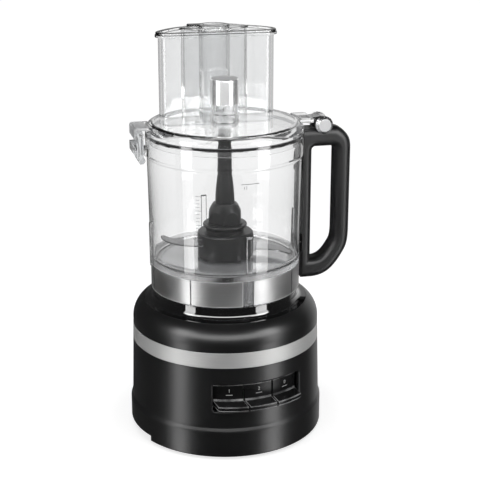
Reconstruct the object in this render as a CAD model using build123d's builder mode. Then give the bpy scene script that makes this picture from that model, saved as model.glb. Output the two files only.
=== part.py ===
import os
from math import cos, radians, sin, sqrt

from build123d import *

os.makedirs("parts", exist_ok=True)

# Millimetres. Bowl axis on Z, floor at 0, handle towards +X, latch towards -X, front towards -Y.

# Base
skirt_r = 111.0
wall_low_r = 108.75
wall_high_r = 106.9
band_low = 108.0
band_high = 126.0
shell_edge_r = 93.0
shell_edge_z = 155.0
cover_r = 100.0
cover_low = 3.5
cover_high = 6.5
flange_z = 16.0
rear_skirt_z = 10.2
rear_skirt_start = -7.0
rear_skirt_sweep = 214.0
crease_z = 36.3
screw_ring_r = 95.5

# Control panel
panel_angle = -82.0
window_half = 50.7
window_low = 57.2
window_high = 89.2
label_r = 101.3
label_back_r = 98.8
label_top = 86.2
ledge_z = 67.2
ledge_low = 62.0
ledge_out = 17.2
window_rim = 1.6
key_pitch = 33.3
plate_half = 16.1
ledge_half = 15.6
rod_v = 81.5
rod_z = 84.0

# Drive
post_ring_r = 64.0
stator_low = 46.0
stator_high = 84.0
rotor_r = 30.0
shaft_r = 8.0
coupling_flats = 16.4
coupling_low = 236.0
coupling_high = 262.0

# Bowl
seat_top = 199.0
seat_land_r = 58.0
floor_top = 202.0
bowl_low = 169.0
bowl_skirt_in = 82.5
band_back_r = 83.65
band_foot = 170.4
band_head = 199.2
seam_step = 44.0
rim_z = 345.0
tube_r = 14.5
tube_bore_r = 12.0
tube_top = 238.0
rib_angle = -85.5
rib_half = 3.25
rib_top = 250.0
handle_in = 88.6
screw_heights = (212.0, 306.0)

# Lid and hinge
plate_top = 359.0
flange_low = 348.0
neck_r = 14.3
neck_base_r = 16.2
neck_bore_r = 11.8
neck_top = 378.5
cap_r = 15.6
cap_top = 406.0
stem_top = 349.0
hinge_x = 111.0
hinge_z = 350.5
ear_out = 12.5
latch_x = -96.5
latch_z = 351.2
lever_out = -98.8
web_out = -104.6
web_half = 11.0

# Feed chute and pushers
chute_r = 78.5
chute_front = 26.0
chute_corner = 13.0
chute_wall = 2.5
chute_low = 337.0
chute_top = 450.0
lens_y = 52.2
lens_half_w = 38.0
lens_half_d = 20.2
lens_r = (lens_half_w**2 + lens_half_d**2) / (2 * lens_half_d)
lens_shift = lens_r - lens_half_d
cup_r = 14.8


def radial_plane(angle):
    a = radians(angle)
    return Plane(origin=(0, 0, 0), x_dir=(cos(a), sin(a), 0), z_dir=(sin(a), -cos(a), 0))


def polar(radius, angle):
    return (radius * cos(radians(angle)), radius * sin(radians(angle)))


def save(part, label):
    part.label = label
    export_step(part, f"parts/{label}.step")


panel_out = (cos(radians(panel_angle)), sin(radians(panel_angle)), 0)
panel_side = (-sin(radians(panel_angle)), cos(radians(panel_angle)), 0)
panel_face = Plane(origin=(0, 0, 0), x_dir=panel_side, z_dir=panel_out)


# Plan view of the panel: local x points outwards, local y runs along the row of keys
def panel_plan(z):
    return Plane(origin=(0, 0, z), x_dir=panel_out, z_dir=(0, 0, 1))


# Side view of the panel at one place along the row: local x points outwards, local y is height
def panel_section(u):
    origin = (panel_side[0] * u, panel_side[1] * u, 0)
    return Plane(origin=origin, x_dir=panel_out, z_dir=(-panel_side[0], -panel_side[1], 0))


# Base housing: skirt, soft crease, slightly tapered wall and an inner flange for the cover
with BuildPart() as base_housing:
    with BuildSketch(Plane.XZ):
        with BuildLine():
            Line((107.6, 3.2), (109.4, 3.2))
            ThreePointArc((109.4, 3.2), (110.55, 3.7), (skirt_r, 5.2))
            Line((skirt_r, 5.2), (110.95, crease_z - 4))
            ThreePointArc((110.95, crease_z - 4), (110.82, crease_z - 2.9), (110.45, crease_z - 1.8))
            Line((110.45, crease_z - 1.8), (109.1, crease_z + 1.2))
            ThreePointArc((109.1, crease_z + 1.2), (wall_low_r + 0.1, crease_z + 2.4), (wall_low_r, crease_z + 4))
            Polyline(
                (wall_low_r, crease_z + 4),
                (wall_high_r, band_low),
                (105.3, band_low),
                (105.3, band_high),
                (102.5, band_high),
                (102.5, 110),
                (103.8, 106),
                (105.7, 44),
                (107.0, 30),
                (107.2, flange_z + 3),
                (91, flange_z + 3),
                (91, flange_z),
                (107.4, flange_z),
                (107.6, 3.2),
            )
        make_face()
    revolve(axis=Axis.Z)
    # rear two thirds of the skirt stop higher, above the recessed cover
    with BuildSketch(radial_plane(rear_skirt_start)):
        with Locations((109, rear_skirt_z / 2)):
            Rectangle(8, rear_skirt_z)
    revolve(axis=Axis.Z, revolution_arc=rear_skirt_sweep, mode=Mode.SUBTRACT)
    # screw bosses
    with BuildSketch(Plane.XY.offset(flange_z + 3)):
        with PolarLocations(screw_ring_r, 4, start_angle=45):
            Circle(4.4)
    extrude(amount=12)
    with BuildSketch(Plane.XY.offset(flange_z)):
        with PolarLocations(screw_ring_r, 4, start_angle=45):
            Circle(1.75)
    extrude(amount=13, mode=Mode.SUBTRACT)
    # window for the keys
    with BuildSketch(panel_face.offset(80)) as window:
        with Locations((0, (window_low + window_high) / 2)):
            Rectangle(2 * window_half, window_high - window_low)
        fillet(window.vertices(), 3)
    extrude(amount=40, mode=Mode.SUBTRACT)
    # gland hole at the back
    with BuildSketch(Plane.XZ.offset(-95)):
        with Locations((0, 24)):
            Circle(7.1)
    extrude(amount=-30, mode=Mode.SUBTRACT)
    rims = base_housing.edges().filter_by(
        lambda e: window_low - 1 < e.center().Z < window_high + 1
        and (e @ 0.5).Y < -80
        and sqrt((e @ 0.5).X ** 2 + (e @ 0.5).Y ** 2) > 106.5
    )
    fillet(rims, window_rim)
save(base_housing.part, "base_housing")

with BuildPart() as trim_band:
    with BuildSketch(Plane.XZ):
        with BuildLine():
            Polyline(
                (105.35, band_low),
                (106.5, band_low),
                (wall_high_r + 0.05, band_low + 0.5),
                (106.45, band_high - 0.5),
                (106.0, band_high),
                (105.35, band_high),
                close=True,
            )
        make_face()
    revolve(axis=Axis.Z)
save(trim_band.part, "trim_band")

# Rounded shoulder above the band, with a ledge inside for the seat
with BuildPart() as base_top_shell:
    with BuildSketch(Plane.XZ):
        with BuildLine():
            Line((106.3, band_high), (106.3, 132))
            ThreePointArc((106.3, 132), (102.75, 145.25), (shell_edge_r, shell_edge_z))
            Polyline(
                (shell_edge_r, shell_edge_z),
                (shell_edge_r, 152.45),
                (90.2, 152.45),
                (90.2, 149.6),
                (94.6, 149.6),
                (94.6, 150.25),
            )
            ThreePointArc((94.6, 150.25), (100.9, 142.4), (103.3, 132))
            Polyline((103.3, 132), (103.3, band_high), (106.3, band_high))
        make_face()
    revolve(axis=Axis.Z)
save(base_top_shell.part, "base_top_shell")

# Glossy pedestal that carries the bowl
with BuildPart() as bowl_seat:
    with BuildSketch(Plane.XZ):
        with BuildLine():
            Polyline((92.8, 152.45), (92.8, 154.95), (88.4, 155.2))
            ThreePointArc((88.4, 155.2), (84.1, 156.95), (82.3, 161.2))
            Line((82.3, 161.2), (80.9, seat_top - 2.8))
            ThreePointArc((80.9, seat_top - 2.8), (80.3, seat_top - 1.25), (78.7, seat_top - 0.6))
            Polyline(
                (78.7, seat_top - 0.6),
                (seat_land_r, seat_top - 0.6),
                (seat_land_r, seat_top),
                (12.5, seat_top),
                (12.5, seat_top - 2.5),
                (78.2, seat_top - 2.5),
                (79.7, 160.6),
            )
            ThreePointArc((79.7, 160.6), (82.2, 155.1), (87.6, 152.7))
            Polyline((87.6, 152.7), (87.6, 152.45), (92.8, 152.45))
        make_face()
    revolve(axis=Axis.Z)
save(bowl_seat.part, "bowl_seat")

# Bottom cover: recessed dish with screw bosses, motor bosses and air slots
with BuildPart() as bottom_cover:
    with BuildSketch(Plane.XY.offset(cover_low)):
        Circle(cover_r)
    extrude(amount=cover_high - cover_low)
    with BuildSketch(Plane.XY.offset(cover_high)):
        Circle(cover_r)
        Circle(cover_r - 3, mode=Mode.SUBTRACT)
        with PolarLocations(screw_ring_r, 4, start_angle=45):
            Circle(4.4)
    extrude(amount=flange_z - cover_high)
    with BuildSketch(Plane.XY.offset(cover_high)):
        with PolarLocations(60, 4):
            Circle(8)
    extrude(amount=7.5)
    with BuildSketch(Plane.XY.offset(cover_low)):
        with PolarLocations(screw_ring_r, 4, start_angle=45):
            Circle(3.6)
    extrude(amount=2.5, mode=Mode.SUBTRACT)
    with BuildSketch(Plane.XY.offset(cover_low)):
        with PolarLocations(screw_ring_r, 4, start_angle=45):
            Circle(1.9)
        with GridLocations(0, 9, 1, 7):
            SlotOverall(58, 3.6)
    extrude(amount=20, mode=Mode.SUBTRACT)
save(bottom_cover.part, "bottom_cover")

with BuildPart() as rubber_foot:
    with BuildSketch(Plane.XY):
        Circle(90)
        Circle(78, mode=Mode.SUBTRACT)
    extrude(amount=cover_low)
    fillet(rubber_foot.edges().group_by(Axis.Z)[0], 1.0)
save(rubber_foot.part, "rubber_foot")

with BuildPart() as cover_screws:
    with BuildSketch(Plane.XY.offset(cover_low + 0.3)):
        with PolarLocations(screw_ring_r, 4, start_angle=45):
            Circle(3.2)
    extrude(amount=2.2)
    with BuildSketch(Plane.XY.offset(cover_low + 2.5)):
        with PolarLocations(screw_ring_r, 4, start_angle=45):
            Circle(1.6)
    extrude(amount=20)
    with BuildSketch(Plane.XY.offset(cover_low + 0.3)):
        with PolarLocations(screw_ring_r, 4, start_angle=45):
            Rectangle(3.6, 0.7)
            Rectangle(0.7, 3.6)
    extrude(amount=1.2, mode=Mode.SUBTRACT)
save(cover_screws.part, "cover_screws")

with BuildPart() as cord_gland:
    with BuildSketch(Plane.XZ.offset(-101)):
        with Locations((0, 24)):
            Circle(7.0)
    extrude(amount=-11.3)
    with BuildSketch(Plane.XZ.offset(-111.2)):
        with Locations((0, 24)):
            Circle(9.2)
    extrude(amount=-2.4)
    with BuildSketch(Plane.XZ.offset(-101)):
        with Locations((0, 24)):
            Circle(3.6)
    extrude(amount=-14, mode=Mode.SUBTRACT)
    fillet(cord_gland.edges().filter_by(GeomType.CIRCLE).group_by(Axis.Y)[-1].group_by(SortBy.LENGTH)[-1], 0.9)
save(cord_gland.part, "cord_gland")

# Frame behind the keys: back plate, end plates and a top shelf
with BuildPart() as control_frame:
    with BuildSketch(panel_plan(cover_high)):
        with Locations((75, 0)):
            Rectangle(2, 84)
    extrude(amount=48)
    with BuildSketch(panel_plan(54.5)):
        with Locations((75, 0)):
            Rectangle(2, 108)
        with Locations((81, 53), (81, -53)):
            Rectangle(12, 2)
    extrude(amount=38)
    with BuildSketch(panel_plan(87.4)) as shelf:
        Circle(102)
        with Locations((90, 0)):
            Rectangle(32, 105, mode=Mode.INTERSECT)
    extrude(amount=1.6)
    with BuildSketch(panel_section(0)):
        with Locations((rod_v, rod_z)):
            Circle(1.65)
    extrude(amount=60, both=True, mode=Mode.SUBTRACT)
save(control_frame.part, "control_frame")

with BuildPart() as key_rod:
    with BuildSketch(panel_section(0)):
        with Locations((rod_v, rod_z)):
            Circle(1.6)
    extrude(amount=54, both=True)
save(key_rod.part, "key_rod")

with BuildPart() as control_board:
    with BuildSketch(panel_plan(56)):
        with Locations((76.8, 0)):
            Rectangle(1.6, 92)
    extrude(amount=22)
save(control_board.part, "control_board")

with BuildPart() as key_switches:
    with BuildSketch(panel_plan(60)):
        with GridLocations(0, 33.3, 1, 3):
            with Locations((80.1, 0)):
                Rectangle(5, 12)
    extrude(amount=9)
    with BuildSketch(panel_plan(62.8)):
        with GridLocations(0, 33.3, 1, 3):
            with Locations((83.2, 0)):
                Rectangle(1.4, 5)
    extrude(amount=3.4)
save(key_switches.part, "key_switches")


# How far out a point lies along the panel's own axis
def outward(point):
    return point.dot(Vector(*panel_out))


# One key: curved label plate, bead at its foot, ledge pushed out below, two hinge arms and a plunger
def key_arm_points(u):
    back = sqrt(label_back_r**2 - u**2) + 1.2
    return [
        (rod_v - 3, rod_z - 3),
        (rod_v - 3, rod_z + 2.6),
        (rod_v + 3, rod_z + 2.6),
        (back, label_top - 1.5),
        (back, ledge_z + 2),
    ]


def key_plan(middle, half, face_r, push):
    with Locations((push, 0)):
        Circle(face_r)
    Circle(label_back_r, mode=Mode.SUBTRACT)
    with Locations((100, middle)):
        Rectangle(50, 2 * half, mode=Mode.INTERSECT)


for name, place in (("key_low", -1), ("key_high", 0), ("key_pulse", 1)):
    middle = place * key_pitch
    with BuildPart() as key:
        with BuildSketch(panel_plan(ledge_low)):
            key_plan(middle, plate_half, label_r, 0)
        extrude(amount=label_top - ledge_low)
        rims = key.edges().filter_by(
            lambda e: (e @ 0.5).Z > ledge_low + 1 and sqrt((e @ 0.5).X ** 2 + (e @ 0.5).Y ** 2) > label_r - 0.05
        )
        fillet(rims, 0.6)
        for proud, high in ((0.8, 1.0), (0.5, 1.5)):
            with BuildSketch(panel_plan(ledge_z - 1)):
                key_plan(middle, plate_half - 0.6, label_r + proud, 0)
            extrude(amount=1 + high)
        with BuildSketch(panel_plan(ledge_low)):
            key_plan(middle, ledge_half, label_r, ledge_out)
        extrude(amount=ledge_z - ledge_low)
        lip = key.edges().filter_by(lambda e: ledge_z - 0.1 < e.center().Z < ledge_z + 0.1)
        fillet(lip.sort_by(lambda e: outward(e @ 0.5))[-1], 1.3)
        for u in (middle - 12.5, middle + 12.5):
            with BuildSketch(panel_section(u)):
                with BuildLine():
                    Polyline(*key_arm_points(u), close=True)
                make_face()
            extrude(amount=1.2, both=True)
        with BuildSketch(panel_section(middle)):
            with Locations(((86.5 + sqrt(label_back_r**2 - middle**2)) / 2 + 0.5, 64.5)):
                Rectangle(sqrt(label_back_r**2 - middle**2) - 86.5 + 1, 3.4)
        extrude(amount=2, both=True)
        with BuildSketch(panel_section(middle)):
            with Locations((rod_v, rod_z)):
                Circle(1.68)
        extrude(amount=40, both=True, mode=Mode.SUBTRACT)
    save(key.part, name)

with BuildPart() as interlock_switch:
    with BuildSketch(Plane.XY.offset(131)):
        with Locations((85, 0)):
            Rectangle(16, 22)
    extrude(amount=18.6)
    fillet(interlock_switch.edges().filter_by(Axis.Z), 1.2)
save(interlock_switch.part, "interlock_switch")

# Motor
with BuildPart() as motor_isolators:
    with BuildSketch(Plane.XY.offset(14)):
        with PolarLocations(60, 4):
            Circle(8)
    extrude(amount=8)
save(motor_isolators.part, "motor_isolators")

with BuildPart() as motor_frame_lower:
    with BuildSketch(Plane.XY.offset(22)):
        Circle(71)
        with PolarLocations(42, 4, start_angle=45):
            Circle(11, mode=Mode.SUBTRACT)
    extrude(amount=5)
    with BuildSketch(Plane.XY.offset(22)):
        Circle(18)
    extrude(amount=16)
    with BuildSketch(Plane.XY.offset(27)):
        with PolarLocations(post_ring_r, 4, start_angle=45):
            Circle(6.5)
    extrude(amount=stator_low - 27)
    with BuildSketch(Plane.XY.offset(stator_low)):
        with PolarLocations(post_ring_r, 4, start_angle=45):
            Circle(4)
    extrude(amount=100 - stator_low)
    with BuildSketch(Plane.XY.offset(26)):
        Circle(13.05)
    extrude(amount=20, mode=Mode.SUBTRACT)
    with BuildSketch(Plane.XY.offset(20)):
        Circle(9.5)
    extrude(amount=10, mode=Mode.SUBTRACT)
    with BuildSketch(Plane.XY.offset(86)):
        with PolarLocations(post_ring_r, 4, start_angle=45):
            Circle(2.1)
    extrude(amount=20, mode=Mode.SUBTRACT)
save(motor_frame_lower.part, "motor_frame_lower")

with BuildPart() as motor_frame_upper:
    with BuildSketch(Plane.XY.offset(100)):
        Circle(26)
        with PolarLocations(post_ring_r / 2, 4, start_angle=45):
            Rectangle(post_ring_r, 16)
        with PolarLocations(post_ring_r, 4, start_angle=45):
            Circle(8)
    extrude(amount=5)
    with BuildSketch(Plane.XY.offset(100)):
        Circle(18)
    extrude(amount=16)
    with BuildSketch(Plane.XY.offset(103)):
        Circle(13.05)
    extrude(amount=20, mode=Mode.SUBTRACT)
    with BuildSketch(Plane.XY.offset(95)):
        Circle(9.5)
        with PolarLocations(post_ring_r, 4, start_angle=45):
            Circle(2.1)
    extrude(amount=12, mode=Mode.SUBTRACT)
save(motor_frame_upper.part, "motor_frame_upper")

with BuildPart() as frame_screws:
    with BuildSketch(Plane.XY.offset(105)):
        with PolarLocations(post_ring_r, 4, start_angle=45):
            RegularPolygon(4.2, 6)
    extrude(amount=3)
    with BuildSketch(Plane.XY.offset(88)):
        with PolarLocations(post_ring_r, 4, start_angle=45):
            Circle(2.0)
    extrude(amount=17)
save(frame_screws.part, "frame_screws")

with BuildPart() as motor_stator:
    with BuildSketch(Plane.XY.offset(stator_low)):
        Circle(57)
        with PolarLocations(post_ring_r - 4, 4, start_angle=45):
            Rectangle(12, 20)
        with PolarLocations(post_ring_r, 4, start_angle=45):
            Circle(4.1, mode=Mode.SUBTRACT)
        Circle(rotor_r + 0.5, mode=Mode.SUBTRACT)
        with PolarLocations(38, 16):
            SlotOverall(13, 5, mode=Mode.SUBTRACT)
    extrude(amount=stator_high - stator_low)
save(motor_stator.part, "motor_stator")

with BuildPart() as stator_windings:
    for low in (stator_low - 9, stator_high):
        with BuildSketch(Plane.XY.offset(low)):
            Circle(47)
            Circle(33, mode=Mode.SUBTRACT)
        extrude(amount=9)
save(stator_windings.part, "stator_windings")

for name, low in (("lower_bearing", 26.0), ("upper_bearing", 103.0)):
    with BuildPart() as bearing:
        with BuildSketch(Plane.XZ):
            with BuildLine():
                Polyline(
                    (shaft_r + 0.05, low),
                    (10.0, low),
                    (10.0, low + 0.6),
                    (11.2, low + 0.6),
                    (11.2, low),
                    (13.0, low),
                    (13.0, low + 11),
                    (11.2, low + 11),
                    (11.2, low + 10.4),
                    (10.0, low + 10.4),
                    (10.0, low + 11),
                    (shaft_r + 0.05, low + 11),
                    close=True,
                )
            make_face()
        revolve(axis=Axis.Z)
    save(bearing.part, name)

with BuildPart() as shaft_seal:
    with BuildSketch(Plane.XY.offset(seat_top - 5)):
        Circle(16)
        Circle(shaft_r + 0.4, mode=Mode.SUBTRACT)
    extrude(amount=2.5)
    with BuildSketch(Plane.XY.offset(seat_top - 2.5)):
        Circle(12.4)
        Circle(shaft_r + 0.4, mode=Mode.SUBTRACT)
    extrude(amount=2.5)
save(shaft_seal.part, "shaft_seal")

with BuildPart() as motor_shaft:
    with BuildSketch(Plane.XZ):
        with BuildLine():
            Polyline(
                (0, 18),
                (5, 18),
                (shaft_r, 20),
                (shaft_r, coupling_low),
                (6, coupling_low),
                (6, coupling_high - 2),
                (0, coupling_high - 2),
                close=True,
            )
        make_face()
    revolve(axis=Axis.Z)
save(motor_shaft.part, "motor_shaft")

with BuildPart() as motor_rotor:
    with BuildSketch(Plane.XY.offset(stator_low)):
        Circle(rotor_r)
        Circle(shaft_r + 0.05, mode=Mode.SUBTRACT)
    extrude(amount=stator_high - stator_low)
    for low in (stator_low - 3, stator_high):
        with BuildSketch(Plane.XY.offset(low)):
            Circle(rotor_r - 1)
            Circle(rotor_r - 9, mode=Mode.SUBTRACT)
        extrude(amount=3)
save(motor_rotor.part, "motor_rotor")

with BuildPart() as cooling_fan:
    with BuildSketch(Plane.XY.offset(stator_high + 3.5)):
        Circle(13)
        with PolarLocations(20, 9):
            Rectangle(18, 1.6, rotation=28)
        Circle(shaft_r + 0.05, mode=Mode.SUBTRACT)
    extrude(amount=9)
save(cooling_fan.part, "cooling_fan")

with BuildPart() as drive_coupling:
    with BuildSketch(Plane.XY.offset(coupling_low)) as hexagon:
        RegularPolygon(coupling_flats / 2, 6, major_radius=False)
        fillet(hexagon.vertices(), 1)
    extrude(amount=coupling_high - coupling_low)
    chamfer(drive_coupling.faces().sort_by(Axis.Z)[-1].edges(), 0.7)
    with BuildSketch(Plane.XY.offset(coupling_low)):
        Circle(6.05)
    extrude(amount=coupling_high - coupling_low - 2, mode=Mode.SUBTRACT)
save(drive_coupling.part, "drive_coupling")

# Bowl: clear wall, floor, centre tube, skirt, rim collar, front rib, latch lug and handle pads
with BuildPart() as bowl:
    with BuildSketch(Plane.XZ):
        with BuildLine():
            Polyline((bowl_skirt_in, bowl_low), (84.0, bowl_low), (84.5, bowl_low + 0.5), (84.5, band_foot))
            Polyline((84.5, band_foot), (band_back_r, band_foot), (band_back_r, band_head), (84.5, band_head))
            Polyline((84.5, band_head), (84.5, 202), (86.5, 320.5))
            Spline((86.5, 320.5), (87.1, 322.4), (87.8, 324.8), tangents=[(0.02, 1), (0, 1)])
            Polyline((87.8, 324.8), (87.8, rim_z - 0.8), (87.1, rim_z), (85.5, rim_z), (85.0, rim_z - 0.6))
            Polyline((85.0, rim_z - 0.6), (84.8, 326), (83.9, 320), (81.8, 212))
            ThreePointArc((81.8, 212), (78.9, 204.9), (71.8, floor_top))
            Line((71.8, floor_top), (17.5, floor_top))
            ThreePointArc((17.5, floor_top), (15.4, 202.9), (tube_r, 205))
            Polyline(
                (tube_r, 205),
                (tube_r, tube_top),
                (tube_bore_r, tube_top),
                (tube_bore_r, seat_top + 0.05),
                (bowl_skirt_in, seat_top + 0.05),
                (bowl_skirt_in, bowl_low),
            )
        make_face()
    revolve(axis=Axis.Z)
    for turn in (0, 90, 180, 270):
        with BuildSketch(radial_plane(rib_angle + turn)):
            with BuildLine():
                Polyline((83.4, seat_top + 0.5), (87.6, seat_top + 0.5), (88.0, rib_top - 2))
                Polyline((88.0, rib_top - 2), (86.8, rib_top), (84.2, rib_top), (83.4, seat_top + 0.5))
            make_face()
        extrude(amount=rib_half, both=True)
    rib_edges = bowl.edges().filter_by(
        lambda e: seat_top + 10 < (e @ 0.5).Z < rib_top - 10
        and e.length > 30
        and sqrt((e @ 0.5).X ** 2 + (e @ 0.5).Y ** 2) > 87.4
    )
    fillet(rib_edges, 1.3)
    # round guide pin with a thicker foot, in the gap of the steel band
    for pin_r, low, high in ((2.7, 174, 178.5), (2.0, 178, seat_top + 1)):
        with BuildSketch(Plane.XY.offset(low)):
            with Locations(polar(85.2, rib_angle)):
                Circle(pin_r)
        extrude(amount=high - low)
    for step in (-3, -2, -1, 1, 2, 3):
        with BuildSketch(radial_plane(rib_angle + seam_step * step)):
            with Locations((band_back_r + 0.25, (band_foot + band_head) / 2)):
                Rectangle(1.1, band_head - band_foot)
        extrude(amount=0.5, both=True)
    with BuildSketch(Plane.XZ):
        with BuildLine():
            Polyline((-86, 325), (-90.4, 325), (-91, 325.6), (-91, 328.5), (-89, 334), (-86, 334), close=True)
        make_face()
    extrude(amount=9, both=True)
    with BuildSketch(Plane.YZ.offset(84)):
        with Locations(*[(0, z) for z in screw_heights]):
            Rectangle(17, 20)
    extrude(amount=handle_in - 84)
    with BuildSketch(Plane.YZ.offset(85.2)):
        with Locations(*[(0, z) for z in screw_heights]):
            Circle(1.7)
    extrude(amount=8, mode=Mode.SUBTRACT)
save(bowl.part, "bowl")

with BuildPart() as bowl_band:
    with BuildSketch(Plane.XY.offset(band_foot + 0.05)):
        Circle(84.45)
        Circle(band_back_r + 0.05, mode=Mode.SUBTRACT)
        with Locations(polar(84, rib_angle)):
            Rectangle(12.5, 20, rotation=rib_angle + 90, mode=Mode.SUBTRACT)
        for step in (-3, -2, -1, 1, 2, 3):
            with Locations(polar(84, rib_angle + seam_step * step)):
                Rectangle(4, 1.6, rotation=rib_angle + seam_step * step, mode=Mode.SUBTRACT)
    extrude(amount=band_head - band_foot - 0.1)
save(bowl_band.part, "bowl_band")

# Handle: strip on the bowl, top arm with two hinge ears, grip and lower sweep
with BuildPart() as bowl_handle:
    with BuildSketch(Plane.XZ):
        with BuildLine():
            Line((handle_in, 169.5), (99, 169.5))
            Spline((99, 169.5), (122, 176.5), (138.5, 197), (145, 228), tangents=[(1, 0), (0, 1)])
            Line((145, 228), (145, 320))
            Spline((145, 320), (142, 335), (133, 344.5), (121, 348), tangents=[(0, 1), (-1, 0.1)])
            Polyline((121, 348), (117, 348), (115, 346.5), (handle_in, 346.5), (handle_in, 169.5))
        make_face()
        with BuildLine():
            Spline((99, 193), (112, 196.5), (121.5, 208), (126, 230), tangents=[(1, 0), (0, 1)])
            Line((126, 230), (126, 320))
            ThreePointArc((126, 320), (124.5, 323.5), (121, 325))
            Line((121, 325), (103, 325))
            ThreePointArc((103, 325), (100.2, 323.8), (99, 321))
            Line((99, 321), (99, 193))
        make_face(mode=Mode.SUBTRACT)
    extrude(amount=12.5, both=True)
    side_edges = bowl_handle.edges().filter_by(lambda e: abs(abs((e @ 0.5).Y) - 12.5) < 0.01)
    fillet(side_edges.filter_by(lambda e: (e @ 0.5).X > 128), 9.0)
    inner_edges = bowl_handle.edges().filter_by(
        lambda e: abs(abs((e @ 0.5).Y) - 12.5) < 0.01
        and 110 < (e @ 0.5).X < 127
        and 194 < (e @ 0.5).Z < 324.9
    )
    fillet(inner_edges, 8.0)
    for y in (-ear_out, 8.8):
        with BuildSketch(Plane.XZ.offset(-y)):
            with Locations((hinge_x, hinge_z)):
                Circle(9.6)
        extrude(amount=8.8 - ear_out)
    with BuildSketch(Plane.XZ):
        with Locations((hinge_x, hinge_z)):
            Circle(10)
        with Locations((hinge_x - 6, hinge_z + 4)):
            Rectangle(12, 12)
    extrude(amount=8.8, both=True, mode=Mode.SUBTRACT)
    with BuildSketch(Plane.XZ):
        with Locations((hinge_x, hinge_z)):
            Circle(3.05)
    extrude(amount=20, both=True, mode=Mode.SUBTRACT)
    with BuildSketch(Plane.YZ.offset(handle_in - 1)):
        with Locations(*[(0, z) for z in screw_heights]):
            Circle(1.7)
    extrude(amount=12, mode=Mode.SUBTRACT)
    with BuildSketch(Plane.YZ.offset(96.4)):
        with Locations(*[(0, z) for z in screw_heights]):
            Circle(3.7)
    extrude(amount=4, mode=Mode.SUBTRACT)
save(bowl_handle.part, "bowl_handle")

with BuildPart() as handle_screws:
    with BuildSketch(Plane.YZ.offset(96.4)):
        with Locations(*[(0, z) for z in screw_heights]):
            Circle(3.5)
    extrude(amount=2)
    with BuildSketch(Plane.YZ.offset(85.6)):
        with Locations(*[(0, z) for z in screw_heights]):
            Circle(1.6)
    extrude(amount=10.8)
    with BuildSketch(Plane.YZ.offset(97.4)):
        with Locations(*[(0, z) for z in screw_heights]):
            Rectangle(4, 0.8)
            Rectangle(0.8, 4)
    extrude(amount=2, mode=Mode.SUBTRACT)
save(handle_screws.part, "handle_screws")

with BuildPart() as hinge_pin:
    with BuildSketch(Plane.XZ):
        with Locations((hinge_x, hinge_z)):
            Circle(3)
    extrude(amount=ear_out, both=True)
save(hinge_pin.part, "hinge_pin")

with BuildPart() as hinge_heads:
    for side in (-1, 1):
        with BuildSketch(Plane.XZ.offset(-ear_out * side)):
            with Locations((hinge_x, hinge_z)):
                Circle(10)
        extrude(amount=-3.6 * side)
    rims = hinge_heads.edges().filter_by(lambda e: abs(abs(e.center().Y) - ear_out - 3.6) < 0.01)
    chamfer(rims, 2.6)
    for side in (-1, 1):
        with BuildSketch(Plane.XZ.offset(-(ear_out + 3) * side)):
            with Locations((hinge_x, hinge_z)):
                Circle(6.9)
        extrude(amount=-1.8 * side)
    faces = hinge_heads.edges().filter_by(lambda e: abs(abs(e.center().Y) - ear_out - 4.8) < 0.01)
    fillet(faces, 0.6)
save(hinge_heads.part, "hinge_heads")


# Feed chute outline: an arc round the bowl axis closed by a flat front wall
def chute_outline(sketch, inset):
    Circle(chute_r - inset)
    with Locations((0, chute_front + inset + 60)):
        Rectangle(240, 120, mode=Mode.INTERSECT)
    fillet(sketch.vertices(), chute_corner - inset)


# Pointed oval of the middle pusher
def lens_outline(inset):
    with Locations((0, lens_y - lens_shift)):
        Circle(lens_r - inset)
    with Locations((0, lens_y + lens_shift)):
        Circle(lens_r - inset, mode=Mode.INTERSECT)


with BuildPart() as chute_void:
    with BuildSketch(Plane.XY.offset(300)) as void_plan:
        chute_outline(void_plan, chute_wall)
    extrude(amount=200)

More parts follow.
